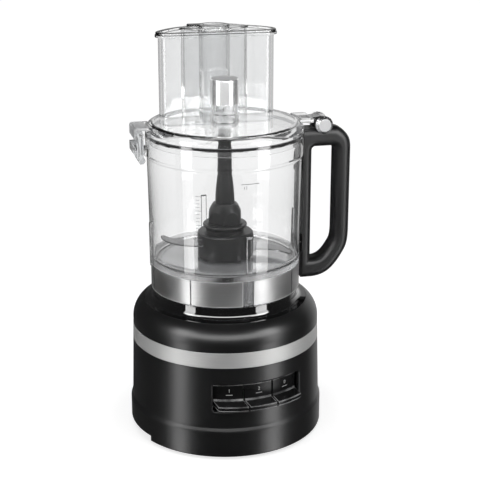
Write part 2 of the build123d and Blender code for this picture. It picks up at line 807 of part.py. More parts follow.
# Lid: stepped plate, rim flange, locating skirt, hub neck, chute, hinge arm and latch tab
with BuildPart() as lid:
    with BuildSketch(Plane.XZ):
        with BuildLine():
            Polyline((neck_bore_r, neck_top), (neck_r, neck_top), (neck_r, 368))
            Polyline((neck_r, 368), (neck_base_r, 367), (neck_base_r, 361))
            ThreePointArc((neck_base_r, 361), (16.8, 359.6), (18.2, plate_top))
            Line((18.2, plate_top), (77, plate_top))
            ThreePointArc((77, plate_top), (84.3, 356.9), (88, 351.4))
            Polyline(
                (88, 351.4),
                (88, flange_low),
                (83.8, flange_low),
                (83.8, 338),
                (81.6, 338),
                (81.6, 356),
                (16.9, 356),
                (13.6, 350.6),
                (neck_bore_r, 350.6),
                (neck_bore_r, neck_top),
            )
        make_face()
    revolve(axis=Axis.Z)
    with BuildSketch(Plane.XY.offset(chute_low)) as tube_plan:
        chute_outline(tube_plan, 0)
    extrude(amount=chute_top - 3 - chute_low)
    with BuildSketch(Plane.XY.offset(chute_top - 3)) as rim_plan:
        chute_outline(rim_plan, -3.4)
    extrude(amount=3)
    fillet(lid.edges().group_by(Axis.Z)[-1], 1.0)
    add(chute_void.part, mode=Mode.SUBTRACT)
    # hinge arm
    with BuildSketch(Plane.XY.offset(355.6)):
        with Locations((89, 0)):
            RectangleRounded(18, 40, 4)
    extrude(amount=3.4)
    with BuildSketch(Plane.XZ):
        with BuildLine():
            Polyline((83.9, 354.2), (83.9, plate_top), (98, plate_top), (hinge_x, hinge_z + 9.2), (hinge_x, hinge_z - 4), (100, 350.6), close=True)
        make_face()
        with Locations((hinge_x, hinge_z)):
            Circle(9.2)
            Circle(5.6, mode=Mode.SUBTRACT)
    extrude(amount=8.2, both=True)
    with BuildSketch(Plane.XZ):
        with Locations((hinge_x, hinge_z)):
            Circle(5.6)
    extrude(amount=10, both=True, mode=Mode.SUBTRACT)
    # latch tab with two ears
    with BuildSketch(Plane.XZ):
        with BuildLine():
            Polyline(
                (-83.6, 355.5),
                (-83.6, plate_top),
                (-101.5, plate_top),
                (-103.5, 357),
                (-103.5, 347.2),
                (-101.2, 347.2),
                (-101.2, 355.5),
                close=True,
            )
        make_face()
    extrude(amount=17, both=True)
    for y in (-17, 14.4):
        with BuildSketch(Plane.XZ.offset(-y)):
            with BuildLine():
                Polyline((-91, 356), (-102, 356), (-102, 347.2), (-92.5, 347.2), close=True)
            make_face()
        extrude(amount=-2.6)
    with BuildSketch(Plane.XZ):
        with Locations((latch_x, latch_z)):
            Circle(1.55)
    extrude(amount=20, both=True, mode=Mode.SUBTRACT)
    # windows in the hub neck
    with BuildSketch(Plane.XY.offset(371)):
        with PolarLocations(neck_r - 1, 4, start_angle=54):
            Rectangle(5, 8.6)
    extrude(amount=5.8, mode=Mode.SUBTRACT)
save(lid.part, "lid")

with BuildPart() as lid_seal:
    with BuildSketch(Plane.XZ):
        with BuildLine():
            Polyline(
                (84.2, rim_z),
                (87.2, rim_z),
                (87.6, rim_z + 0.5),
                (87.6, flange_low - 0.4),
                (87.2, flange_low),
                (84.2, flange_low),
                close=True,
            )
        make_face()
    revolve(axis=Axis.Z)
save(lid_seal.part, "lid_seal")

with BuildPart() as hub_cap:
    with BuildSketch(Plane.XZ):
        with BuildLine():
            Line((0, cap_top), (cap_r - 1.2, cap_top))
            ThreePointArc((cap_r - 1.2, cap_top), (cap_r - 0.35, cap_top - 0.35), (cap_r, cap_top - 1.2))
            Polyline(
                (cap_r, cap_top - 1.2),
                (cap_r, neck_top),
                (cap_r - 2.4, neck_top),
                (cap_r - 2.4, cap_top - 3),
                (0, cap_top - 3),
                (0, cap_top),
            )
        make_face()
    revolve(axis=Axis.Z)
save(hub_cap.part, "hub_cap")

with BuildPart() as hinge_bush:
    with BuildSketch(Plane.XZ):
        with Locations((hinge_x, hinge_z)):
            Circle(5.5)
            Circle(3.08, mode=Mode.SUBTRACT)
    extrude(amount=8.2, both=True)
save(hinge_bush.part, "hinge_bush")

with BuildPart() as latch_pin:
    with BuildSketch(Plane.XZ):
        with Locations((latch_x, latch_z)):
            Circle(1.5)
    extrude(amount=17, both=True)
save(latch_pin.part, "latch_pin")

# Latch: barrel on the pin, round-edged lever with a nose, and a narrower grip web outside it with crossed ribs
with BuildPart() as latch:
    with BuildSketch(Plane.XZ):
        with BuildLine():
            Polyline(
                (-93.2, 350),
                (-92.7, 344),
                (-92.7, 324.4),
                (-91.4, 323),
                (-91.4, 321),
                (-93.4, 318.4),
                (-97, 318),
                (lever_out, 321),
                (lever_out, 345),
                (-99.6, 350),
                close=True,
            )
        make_face()
        with Locations((latch_x, latch_z)):
            Circle(3.6)
    extrude(amount=14, both=True)
    fillet(latch.edges().filter_by(Axis.Y).group_by(Axis.Z)[0], 0.8)
    corners = latch.edges().filter_by(lambda e: abs(abs((e @ 0.5).Y) - 14) < 0.01 and 325 < (e @ 0.5).Z < 344)
    fillet(corners, 1.6)
    with BuildSketch(Plane.XZ):
        with BuildLine():
            Polyline((lever_out + 0.5, 340.5), (web_out, 340.5), (web_out, 331), (lever_out + 0.5, 321.5), close=True)
        make_face()
    extrude(amount=web_half, both=True)
    # pockets between the crossed ribs of the web
    for side in (-1, 1):
        with BuildSketch(Plane.XZ.offset(-web_half * side)):
            with BuildLine():
                Polyline((-103.6, 337.6), (-103.6, 333.2), (-102.2, 335.4), close=True)
            make_face()
            with BuildLine():
                Polyline((-99.9, 338.2), (-99.9, 332.6), (-101.2, 335.4), close=True)
            make_face()
            with BuildLine():
                Polyline((-102.9, 339.4), (-100.6, 339.4), (-101.7, 336.6), close=True)
            make_face()
            with BuildLine():
                Polyline((-103.2, 331.6), (-101.7, 334.2), (-100.2, 331.4), (-100.2, 326.6), close=True)
            make_face()
        extrude(amount=4 * side, mode=Mode.SUBTRACT)
    with BuildSketch(Plane.XZ):
        with Locations((latch_x, latch_z)):
            Circle(1.6)
    extrude(amount=20, both=True, mode=Mode.SUBTRACT)
save(latch.part, "latch")

# Pushers, nested one inside the other
large_gap = chute_wall + 0.6
with BuildPart() as large_pusher:
    with BuildSketch(Plane.XY.offset(346)) as plunger_plan:
        chute_outline(plunger_plan, large_gap)
    extrude(amount=chute_top - 346)
    with BuildSketch(Plane.XY.offset(chute_top)) as collar_plan:
        chute_outline(collar_plan, -2.6)
    extrude(amount=2.5)
    fillet(large_pusher.edges().group_by(Axis.Z)[-1], 0.9)
    with BuildSketch(Plane.XY.offset(348)) as lobe_plan:
        chute_outline(lobe_plan, large_gap + 2)
    extrude(amount=120, mode=Mode.SUBTRACT)
    with BuildSketch(Plane.XY.offset(346)):
        lens_outline(0)
    extrude(amount=chute_top + 2.5 - 346)
    # small webs that tie the ends of the oval to the collar
    for side in (-1, 1):
        with BuildSketch(Plane.XZ.offset(-lens_y)):
            with BuildLine():
                Polyline(
                    (side * (lens_half_w - 3), chute_top + 2.5),
                    (side * (lens_half_w + 14), chute_top + 2.5),
                    (side * lens_half_w, chute_top - 13),
                    (side * (lens_half_w - 3), chute_top - 13),
                    close=True,
                )
            make_face()
        extrude(amount=0.9, both=True)
    with BuildSketch(Plane.XY.offset(340)):
        lens_outline(1.8)
    extrude(amount=120, mode=Mode.SUBTRACT)
save(large_pusher.part, "large_pusher")

with BuildPart() as medium_pusher:
    with BuildSketch(Plane.XY.offset(347)):
        lens_outline(2.2)
    extrude(amount=chute_top + 2.5 - 347)
    with BuildSketch(Plane.XY.offset(349)):
        lens_outline(4.0)
    extrude(amount=120, mode=Mode.SUBTRACT)
    with BuildSketch(Plane.XY.offset(347)):
        with Locations((0, lens_y)):
            Circle(cup_r + 2.2)
    extrude(amount=chute_top + 2.5 - 347)
    with BuildSketch(Plane.XY.offset(chute_top + 2.5)):
        lens_outline(-1.4)
    extrude(amount=2.2)
    with BuildSketch(Plane.XY.offset(340)):
        with Locations((0, lens_y)):
            Circle(cup_r + 0.4)
    extrude(amount=120, mode=Mode.SUBTRACT)
save(medium_pusher.part, "medium_pusher")

with BuildPart() as small_pusher:
    with BuildSketch(Plane.XY.offset(348)):
        with Locations((0, lens_y)):
            Circle(cup_r)
    extrude(amount=chute_top + 4.7 - 348)
    with BuildSketch(Plane.XY.offset(chute_top + 4.7)):
        with Locations((0, lens_y)):
            Circle(18)
        with Locations((-18, lens_y + 7)):
            RectangleRounded(21, 12, 2)
    extrude(amount=2)
    fillet(small_pusher.edges().group_by(Axis.Z)[-1], 0.8)
    with BuildSketch(Plane.XY.offset(350)):
        with Locations((0, lens_y)):
            Circle(cup_r - 1.7)
    extrude(amount=120, mode=Mode.SUBTRACT)
save(small_pusher.part, "small_pusher")

# Cutting blades, then the hub with slots for them
for name, low, turn in (("lower_blade", 209.0, -20.0), ("upper_blade", 219.0, 160.0)):
    with BuildPart() as cutter:
        with BuildSketch(Plane.XY.offset(low).rotated((0, 0, turn))):
            with BuildLine():
                Spline((19, 21), (45, 23), (66, 11), (76, -6))
                Line((76, -6), (73, -9))
                Spline((73, -9), (60, 0), (42, 4), (25, -8))
                Line((25, -8), (19, 21))
            make_face()
        extrude(amount=1.6)
        with BuildSketch(Plane.XY.offset(low - 1)):
            Circle(20)
        extrude(amount=4, mode=Mode.SUBTRACT)
    save(cutter.part, name)
    if name == "lower_blade":
        lower_cutter = cutter.part
    else:
        upper_cutter = cutter.part

with BuildPart() as blade_hub:
    with BuildSketch(Plane.XZ):
        with BuildLine():
            Polyline(
                (28.2, 204),
                (31.2, 204),
                (31.2, 230.6),
                (29.8, 232),
                (15.2, 232),
                (15.2, 205.5),
                (19.2, 205.5),
                (19.2, 228.5),
                (28.2, 228.5),
                close=True,
            )
        make_face()
    revolve(axis=Axis.Z)
    add(lower_cutter, mode=Mode.SUBTRACT)
    add(upper_cutter, mode=Mode.SUBTRACT)
save(blade_hub.part, "blade_hub")

with BuildPart() as hub_collar:
    with BuildSketch(Plane.XZ):
        with BuildLine():
            Polyline((19.1, 232), (21.8, 232), (21.6, 235.4))
            ThreePointArc((21.6, 235.4), (22.5, 237.3), (24.4, 238.4))
            ThreePointArc((24.4, 238.4), (25.0, 240), (24.0, 241.6))
            Polyline((24.0, 241.6), (19.1, 241.6), (19.1, 232))
        make_face()
    revolve(axis=Axis.Z)
save(hub_collar.part, "hub_collar")

# Stem: bell with six flats over the drive socket, then a slim tapering neck
with BuildPart() as blade_stem:
    with BuildSketch(Plane.XZ):
        with BuildLine():
            Polyline((0, 232), (19.0, 232), (19.0, 241.6), (20.2, 241.6), (20.2, 242.4))
            ThreePointArc((20.2, 242.4), (18.9, 253.6), (14.2, 263.6))
            ThreePointArc((14.2, 263.6), (13.3, 264.7), (11.9, 265.2))
            Line((11.9, 265.2), (10.9, 265.2))
            ThreePointArc((10.9, 265.2), (10.1, 281), (8.1, 298))
            Line((8.1, 298), (7.6, stem_top - 5))
            ThreePointArc((7.6, stem_top - 5), (6.3, stem_top - 1.5), (2.5, stem_top))
            Polyline((2.5, stem_top), (0, stem_top), (0, 232))
        make_face()
    revolve(axis=Axis.Z)
    with BuildSketch(Plane.XY.offset(230)):
        Circle(15.2)
    extrude(amount=10, mode=Mode.SUBTRACT)
    with BuildSketch(Plane.XY.offset(238)):
        RegularPolygon(coupling_flats / 2 + 0.4, 6, major_radius=False)
    extrude(amount=coupling_high + 0.6 - 238, mode=Mode.SUBTRACT)
    with BuildSketch(Plane.XY.offset(242.8)):
        Circle(30)
        RegularPolygon(17.7, 6, major_radius=False, rotation=13, mode=Mode.SUBTRACT)
    extrude(amount=18, mode=Mode.SUBTRACT)
save(blade_stem.part, "blade_stem")
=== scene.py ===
import math

import bpy
from mathutils import Matrix, Vector


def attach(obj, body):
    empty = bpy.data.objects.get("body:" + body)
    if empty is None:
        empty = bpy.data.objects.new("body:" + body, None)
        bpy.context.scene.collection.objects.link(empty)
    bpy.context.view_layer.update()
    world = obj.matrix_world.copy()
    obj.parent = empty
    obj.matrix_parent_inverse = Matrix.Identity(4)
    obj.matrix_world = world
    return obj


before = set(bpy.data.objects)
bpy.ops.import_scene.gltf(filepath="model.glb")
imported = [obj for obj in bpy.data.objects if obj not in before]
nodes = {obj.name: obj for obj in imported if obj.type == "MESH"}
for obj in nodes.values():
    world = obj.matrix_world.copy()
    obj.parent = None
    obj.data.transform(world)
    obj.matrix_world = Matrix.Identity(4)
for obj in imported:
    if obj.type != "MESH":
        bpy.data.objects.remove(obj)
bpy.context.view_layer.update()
mm = 0.001
inPlan = (1.0, 1.0, 0.0)  # keeps X and Y of a place
inFront = (1.0, 0.0, 1.0)  # keeps X and Z
print("frame loaded with", len(nodes), "nodes")


# node helpers
def addNode(tree, kind, inputs=None, **options):
    node = tree.nodes.new(kind)
    for key, value in options.items():
        setattr(node, key, value)
    for key, value in (inputs or {}).items():
        if isinstance(value, bpy.types.NodeSocket):
            tree.links.new(value, node.inputs[key])
        else:
            node.inputs[key].default_value = value
    return node


def operands(first, second):
    return {0: first} if second is None else {0: first, 1: second}


def mathNode(tree, operation, first, second=None, clamp=False):
    inputs = operands(first, second)
    return addNode(tree, "ShaderNodeMath", inputs, operation=operation, use_clamp=clamp).outputs[0]


def vectorNode(tree, operation, first, second=None):
    node = addNode(tree, "ShaderNodeVectorMath", operands(first, second), operation=operation)
    return node.outputs["Value" if operation in ("DOT_PRODUCT", "LENGTH") else "Vector"]


def above(tree, value, limit):
    return mathNode(tree, "GREATER_THAN", value, limit)


def below(tree, value, limit):
    return mathNode(tree, "LESS_THAN", value, limit)


def both(tree, first, second):
    return mathNode(tree, "MULTIPLY", first, second)


def either(tree, first, second):
    return mathNode(tree, "MAXIMUM", first, second)


def between(tree, value, low, high):
    return both(tree, above(tree, value, low), below(tree, value, high))


def remap(tree, value, low, high, newLow=0.0, newHigh=1.0):
    fixed = {1: low, 2: high, 3: newLow, 4: newHigh}
    return addNode(tree, "ShaderNodeMapRange", {0: value, **fixed}).outputs[0]


def solid(colour):
    return (*colour, 1.0)


def mixColour(tree, factor, first, second):
    return addNode(tree, "ShaderNodeMix", {0: factor, 6: first, 7: second}, data_type="RGBA").outputs[2]


def mixValue(tree, factor, first, second):
    return addNode(tree, "ShaderNodeMix", {0: factor, 2: first, 3: second}).outputs[0]


def paint(tree, mask, tone, colour):
    return mixColour(tree, mask, tone, solid(colour))


def roughen(tree, rough, mask, amount):
    return mathNode(tree, "ADD", rough, both(tree, mask, amount), clamp=True)


def objectPlace(tree):
    return addNode(tree, "ShaderNodeTexCoord").outputs["Object"]


def axesOf(tree, vector):
    return addNode(tree, "ShaderNodeSeparateXYZ", {0: vector}).outputs


def planRadius(tree, place):
    return vectorNode(tree, "LENGTH", vectorNode(tree, "MULTIPLY", place, inPlan))


def noiseNode(tree, place, scale, detail=2.0, roughness=0.5):
    inputs = {"Vector": place, "Scale": scale, "Detail": detail, "Roughness": roughness}
    return addNode(tree, "ShaderNodeTexNoise", inputs).outputs[0]


def startGroup(name, floats, outputs):
    group = bpy.data.node_groups.new(name, "ShaderNodeTree")
    for label, value in floats.items():
        socket = group.interface.new_socket(label, in_out="INPUT", socket_type="NodeSocketFloat")
        socket.default_value = value
    for label in outputs:
        group.interface.new_socket(label, in_out="OUTPUT", socket_type="NodeSocketFloat")
    return group, group.nodes.new("NodeGroupInput").outputs, group.nodes.new("NodeGroupOutput").inputs


def groupNode(tree, group, values):
    node = tree.nodes.new("ShaderNodeGroup")
    node.node_tree = group
    for label, value in values.items():
        node.inputs[label].default_value = value
    return node.outputs


# shared effects
grainLook = {
    "grainScale": 2600.0,
    "grainRough": 0.6,
    "cloudScale": 22.0,
    "cloudDetail": 3.0,
    "middle": (0.3, 0.7),  # where most of the noise lies
}
streakLook = {
    "lineScale": 4200.0,
    "runScale": 3.0,
    "detail": 4.0,
    "lineRough": 0.7,
    "middle": (0.3, 0.7),
}
wearAndHighlightLook = {
    "width": 0.0012,
    "bevelSamples": 4,
    "edgeTurn": (0.995, 0.86),  # cosine between the flat and the rounded normal
    "levelTilt": (0.05, 0.28),  # change of the normal's height at an edge that runs level
    "patchScale": 60.0,
    "patchDetail": 4.0,
    "patch": (0.38, 0.62),
    "leastWear": 0.15,
    "topFacing": (0.6, 1.0),
    "speckScale": 900.0,
    "speckDetail": 1.0,
    "speck": (0.55, 0.7),
}


def makeGrainGroup(look):
    # fine grain of a moulded skin, and slow clouds in its gloss
    scales = {"Grain Scale": look["grainScale"], "Cloud Scale": look["cloudScale"]}
    group, source, target = startGroup("mouldedGrain", scales, ["Height", "Rough", "Tone"])
    place = objectPlace(group)
    fine = noiseNode(group, place, source["Grain Scale"], roughness=look["grainRough"])
    cloud = noiseNode(group, place, source["Cloud Scale"], look["cloudDetail"])
    group.links.new(fine, target["Height"])
    group.links.new(remap(group, cloud, *look["middle"], -1.0, 1.0), target["Rough"])
    group.links.new(remap(group, fine, *look["middle"]), target["Tone"])
    return group


def makeStreakGroup(look):
    # fine lines that run round the Z axis, as left by a lathe or a belt
    scales = {"Line Scale": look["lineScale"], "Run Scale": look["runScale"]}
    group, source, target = startGroup("turnedStreaks", scales, ["Height", "Rough", "Tone"])
    place = objectPlace(group)
    axes = axesOf(group, place)
    angle = mathNode(group, "ARCTAN2", axes["Y"], axes["X"])
    across = mathNode(group, "ADD", axes["Z"], planRadius(group, place))
    run = both(group, angle, source["Run Scale"])
    line = both(group, across, source["Line Scale"])
    spot = addNode(group, "ShaderNodeCombineXYZ", {0: run, 1: line}).outputs[0]
    noise = noiseNode(group, spot, 1.0, look["detail"], look["lineRough"])
    group.links.new(noise, target["Height"])
    group.links.new(remap(group, noise, *look["middle"], -1.0, 1.0), target["Rough"])
    group.links.new(remap(group, noise, *look["middle"]), target["Tone"])
    return group


def makeWearAndHighlightGroup(look):
    # edges that hands and cloths have polished, which also serve as painted highlights where edges would
    # catch the lamps, and a little dust lying on top faces
    scales = {"Width": look["width"], "Patch Scale": look["patchScale"]}
    group, source, target = startGroup("edgeWearAndHighlight", scales, ["Edge", "Level Edge", "Dust"])
    place = objectPlace(group)
    bevel = addNode(group, "ShaderNodeBevel", {"Radius": source["Width"]}, samples=look["bevelSamples"])
    rounded = bevel.outputs[0]
    flat = addNode(group, "ShaderNodeNewGeometry").outputs["Normal"]
    edge = remap(group, vectorNode(group, "DOT_PRODUCT", rounded, flat), *look["edgeTurn"])
    facing = axesOf(group, flat)["Z"]
    tilt = mathNode(group, "SUBTRACT", axesOf(group, rounded)["Z"], facing)
    levelEdge = remap(group, mathNode(group, "ABSOLUTE", tilt), *look["levelTilt"])
    patch = noiseNode(group, place, source["Patch Scale"], look["patchDetail"])
    wearAndHighlight = remap(group, patch, *look["patch"], look["leastWear"], 1.0)
    speck = noiseNode(group, place, look["speckScale"], look["speckDetail"])
    settled = both(group, remap(group, facing, *look["topFacing"]), remap(group, speck, *look["speck"]))
    group.links.new(both(group, edge, wearAndHighlight), target["Edge"])
    group.links.new(both(group, levelEdge, wearAndHighlight), target["Level Edge"])
    group.links.new(both(group, settled, wearAndHighlight), target["Dust"])
    return group


grainGroup = makeGrainGroup(grainLook)
streakGroup = makeStreakGroup(streakLook)
wearAndHighlightGroup = makeWearAndHighlightGroup(wearAndHighlightLook)
print("shared effects made")


def startMaterial(name):
    material = bpy.data.materials.new(name)
    material.use_nodes = True
    tree = material.node_tree
    tree.nodes.clear()
    output = tree.nodes.new("ShaderNodeOutputMaterial")
    return material, tree, output


def bumpFrom(tree, height, look):
    inputs = {"Height": height, "Strength": look["bump"], "Distance": look["relief"]}
    return addNode(tree, "ShaderNodeBump", inputs).outputs[0]


# plastic, rubber and print
def sealInside(tree, look):
    # only the outside of the ring keeps its dark colour; the faces against the lid and the rim are
    # painted pale, as painted light for how they look through the clear lid
    outward = vectorNode(tree, "NORMALIZE", vectorNode(tree, "MULTIPLY", objectPlace(tree), inPlan))
    normal = addNode(tree, "ShaderNodeNewGeometry").outputs["True Normal"]
    return below(tree, vectorNode(tree, "DOT_PRODUCT", outward, normal), look["insideTurn"])


def plasticMaterial(look):
    material, tree, output = startMaterial(look["name"])
    grain = groupNode(tree, grainGroup, {"Grain Scale": look["grain"], "Cloud Scale": look["cloud"]})
    wearHighlightAndDust = groupNode(tree, wearAndHighlightGroup, {"Width": look["edge"]})
    tone = mixColour(tree, grain["Tone"], solid(look["tone"]), solid(look["light"]))
    # edges painted paler: worn edges, and painted highlights on the keys and round the key window
    wearAndHighlight = both(tree, wearHighlightAndDust[look["wearAndHighlightOn"]], look["wearAndHighlight"])
    if "rimHighlightHeights" in look:
        # the painted highlight goes on the edges round the key window, not on those at the trim
        wearAndHighlight = both(tree, wearAndHighlight, between(tree, axesOf(tree, objectPlace(tree))["Z"], *look["rimHighlightHeights"]))
    tone = paint(tree, wearAndHighlight, tone, look["wearAndHighlightTone"])
    if "litTopFrom" in look:
        # the part that stands inside the bowl's foot is painted paler, as painted light for the
        # brightness seen through the bowl's floor
        top = above(tree, axesOf(tree, objectPlace(tree))["Z"], look["litTopFrom"])
        tone = paint(tree, top, tone, look["topTone"])
    if "insideLightTone" in look:
        tone = paint(tree, sealInside(tree, look), tone, look["insideLightTone"])
    tone = paint(tree, both(tree, wearHighlightAndDust["Dust"], look["dust"]), tone, look["dustTone"])
    rough = roughen(tree, look["rough"], grain["Rough"], look["roughSwing"])
    inputs = {
        "Base Color": tone,
        "Roughness": rough,
        "Normal": bumpFrom(tree, grain["Height"], look),
        "IOR": look["bend"],
        "Specular IOR Level": look["shine"],
        "Coat Weight": look["coat"],
        "Coat Roughness": look["coatRough"],
    }
    shader = addNode(tree, "ShaderNodeBsdfPrincipled", inputs)
    tree.links.new(shader.outputs[0], output.inputs["Surface"])
    return material


satinBlackLook = {
    "name": "satinBlack",
    "tone": (0.006, 0.006, 0.0063),
    "light": (0.0085, 0.0085, 0.0088),
    "wearAndHighlightTone": (0.05, 0.05, 0.052),
    "wearAndHighlightOn": "Edge",
    "grain": 3200.0,
    "cloud": 18.0,
    "edge": 0.0012,
    "wearAndHighlight": 0.35,
    "dust": 0.03,
    "dustTone": (0.35, 0.34, 0.33),
    "rough": 0.3,
    "roughSwing": 0.02,
    "bump": 0.1,
    "relief": 0.0002,
    "bend": 1.5,
    "shine": 0.5,
    "coat": 0.0,
    "coatRough": 0.03,
}
glossBlackLook = {
    **satinBlackLook,
    "name": "glossBlack",
    "tone": (0.003, 0.003, 0.0033),
    "light": (0.004, 0.004, 0.0044),
    "wearAndHighlight": 0.1,
    "dust": 0.02,
    "rough": 0.05,
    "roughSwing": 0.015,
    "bump": 0.01,
    "shine": 1.0,
    "coat": 1.0,
    # above this height the seat is painted paler, as painted light
    "litTopFrom": 0.172,
    "topTone": (0.3, 0.3, 0.303),
}
housingLook = {
    **satinBlackLook,
    "name": "housingBlack",
    # the edges round the key window are painted paler, as painted highlights
    "wearAndHighlightTone": (0.16, 0.16, 0.165),
    "edge": 0.0014,
    "wearAndHighlight": 0.8,
    "rimHighlightHeights": (0.05, 0.095),
}
handleLook = {
    **satinBlackLook,
    "name": "handleBlack",
    "tone": (0.004, 0.004, 0.0043),
    "light": (0.006, 0.006, 0.0063),
    "grain": 2200.0,
    "rough": 0.4,
    "bump": 0.2,
}
keyLook = {
    **satinBlackLook,
    "name": "keyBlack",
    "tone": (0.008, 0.008, 0.0083),
    # the keys' level edges are painted near white, as painted highlights
    "wearAndHighlightTone": (0.8, 0.8, 0.805),
    "wearAndHighlightOn": "Level Edge",
    "edge": 0.0014,
    "wearAndHighlight": 1.0,
    "rough": 0.26,
    "shine": 0.2,
}
darkPlasticLook = {**satinBlackLook, "name": "darkPlastic", "rough": 0.5, "bump": 0.25}
stemLook = {
    **satinBlackLook,
    "name": "stemGrey",
    "tone": (0.009, 0.009, 0.0093),
    "light": (0.013, 0.013, 0.0133),
    "bump": 0.08,
}
rubberLook = {
    **satinBlackLook,
    "name": "footRubber",
    "tone": (0.012, 0.012, 0.012),
    "light": (0.02, 0.02, 0.02),
    "rough": 0.7,
    "bump": 0.35,
}
sealLook = {
    **satinBlackLook,
    "name": "sealGrey",
    "tone": (0.03, 0.03, 0.031),
    "light": (0.04, 0.04, 0.041),
    "rough": 0.06,
    "shine": 1.0,
    "coat": 1.0,
    "insideTurn": 0.5,
    "insideLightTone": (0.6, 0.6, 0.605),
}
fanLook = {
    **satinBlackLook,
    "name": "fanPlastic",
    "tone": (0.03, 0.03, 0.032),
    "light": (0.04, 0.04, 0.042),
}
boardLook = {
    **satinBlackLook,
    "name": "boardGreen",
    "tone": (0.02, 0.1, 0.045),
    "light": (0.03, 0.14, 0.06),
    "wearAndHighlightTone": (0.1, 0.25, 0.12),
}
markLook = {
    **satinBlackLook,
    "name": "printedMark",
    "tone": (0.62, 0.62, 0.62),
    "light": (0.74, 0.74, 0.74),
    "wearAndHighlightTone": (0.5, 0.5, 0.5),
    "rough": 0.5,
    "dust": 0.0,
}
scaleLook = {**markLook, "name": "scalePrint", "tone": (0.25, 0.25, 0.26), "light": (0.32, 0.32, 0.33)}


# metal
def lipMask(tree, look):
    # painted highlights on the cut edges: above, below and beside the gap
    place = objectPlace(tree)
    a = math.radians(look["lipAngle"])
    front = vectorNode(tree, "DOT_PRODUCT", place, (math.cos(a), math.sin(a), 0.0))
    aside = vectorNode(tree, "DOT_PRODUCT", place, (-math.sin(a), math.cos(a), 0.0))
    height = axesOf(tree, place)["Z"]
    lip = below(tree, mathNode(tree, "ABSOLUTE", aside), look["lipWithin"])
    lip = both(tree, lip, above(tree, front, 0.0))
    lip = either(tree, lip, below(tree, height, look["lipBelow"]))
    return either(tree, lip, above(tree, height, look["lipAbove"]))


def ringMask(tree, look):
    # painted face inside a bright metal ring
    place = vectorNode(tree, "SUBTRACT", objectPlace(tree), look["ringCentre"])
    place = vectorNode(tree, "MULTIPLY", place, inFront)
    return above(tree, vectorNode(tree, "LENGTH", place), look["ringFrom"])


def metalMaterial(look):
    material, tree, output = startMaterial(look["name"])
    streak = groupNode(tree, streakGroup, {"Line Scale": look["lines"], "Run Scale": look["run"]})
    grain = groupNode(tree, grainGroup, {"Grain Scale": look["grain"], "Cloud Scale": look["cloud"]})
    tone = mixColour(tree, streak["Tone"], solid(look["tone"]), solid(look["light"]))
    swing = mathNode(tree, "ADD", streak["Rough"], grain["Rough"])
    rough = roughen(tree, look["rough"], swing, look["roughSwing"])
    metal = look["metal"]
    if "topFacing" in look:
        # the top is brushed, the side is bright
        normal = addNode(tree, "ShaderNodeNewGeometry").outputs["Normal"]
        top = above(tree, axesOf(tree, normal)["Z"], look["topFacing"])
        rough = roughen(tree, rough, top, look["topRough"])
        tone = paint(tree, top, tone, look["topTone"])
    if "lipAngle" in look:
        lip = lipMask(tree, look)
        tone = paint(tree, lip, tone, look["lipHighlightTone"])
        metal = mathNode(tree, "SUBTRACT", metal, lip, clamp=True)
    if "ringFrom" in look:
        ring = ringMask(tree, look)
        tone = paint(tree, ring, tone, look["ringTone"])
        metal = either(tree, ring, metal)
        rough = roughen(tree, rough, ring, look["ringRough"])
    inputs = {
        "Base Color": tone,
        "Metallic": metal,
        "Roughness": rough,
        "Normal": bumpFrom(tree, streak["Height"], look),
        "Anisotropic": look["stretch"],
    }
    shader = addNode(tree, "ShaderNodeBsdfPrincipled", inputs)
    if look["stretch"] > 0:
        around = addNode(tree, "ShaderNodeTangent", direction_type="RADIAL", axis="Z")
        tree.links.new(around.outputs[0], shader.inputs["Tangent"])
    tree.links.new(shader.outputs[0], output.inputs["Surface"])
    return material


trimLook = {
    "name": "trimMetal",
    "tone": (0.5, 0.5, 0.495),
    "light": (0.62, 0.62, 0.615),
    "lines": 5200.0,
    "run": 2.5,
    "grain": 1800.0,
    "cloud": 25.0,
    "rough": 0.5,
    "roughSwing": 0.05,
    "bump": 0.03,
    "relief": 0.0001,
    "stretch": 0.4,
    "metal": 0.75,
}
bandLook = {
    **trimLook,
    "name": "bandSteel",
    "tone": (0.4, 0.4, 0.4),
    "light": (0.5, 0.5, 0.5),
    "rough": 0.36,
    "bump": 0.015,
    "stretch": 0.3,
    "metal": 1.0,
    # the band's cut edges are painted pale, as painted highlights
    "lipAngle": -85.5,
    "lipWithin": 0.0070,
    "lipBelow": 0.1711,
    "lipAbove": 0.1985,
    "lipHighlightTone": (0.72, 0.72, 0.725),
}
bladeLook = {
    **trimLook,
    "name": "bladeSteel",
    "tone": (0.27, 0.27, 0.275),
    "light": (0.36, 0.36, 0.365),
    "rough": 0.2,
    "lines": 2400.0,
    "stretch": 0.2,
    "metal": 1.0,
}
chromeLook = {
    **trimLook,
    "tone": (0.88, 0.88, 0.89),
    "light": (0.93, 0.93, 0.94),
    "rough": 0.1,
    "roughSwing": 0.02,
    "bump": 0.005,
    "stretch": 0.0,
    "metal": 0.18,
}
capLook = {
    **chromeLook,
    "name": "capChrome",
    "tone": (0.95, 0.95, 0.955),
    "light": (0.97, 0.97, 0.975),
    "metal": 0.75,
    "rough": 0.26,
    "topFacing": 0.9,
    "topRough": 0.42,
    "topTone": (0.6, 0.6, 0.605),
}
hingeLook = {
    **chromeLook,
    "name": "hingeChrome",
    "metal": 0.0,
    "ringCentre": (0.111, 0.0, 0.3505),
    "ringFrom": 0.0071,
    "ringTone": (0.8, 0.8, 0.81),
    "ringRough": 0.16,
}
backSteelLook = {
    **chromeLook,
    "name": "backSteel",
    "tone": (0.4, 0.4, 0.405),
    "light": (0.5, 0.5, 0.505),
    "rough": 0.3,
}
steelLook = {**trimLook, "name": "plainSteel", "rough": 0.3}
laminationLook = {
    **trimLook,
    "name": "laminations",
    "tone": (0.12, 0.12, 0.125),
    "light": (0.3, 0.3, 0.31),
    "lines": 9000.0,
}
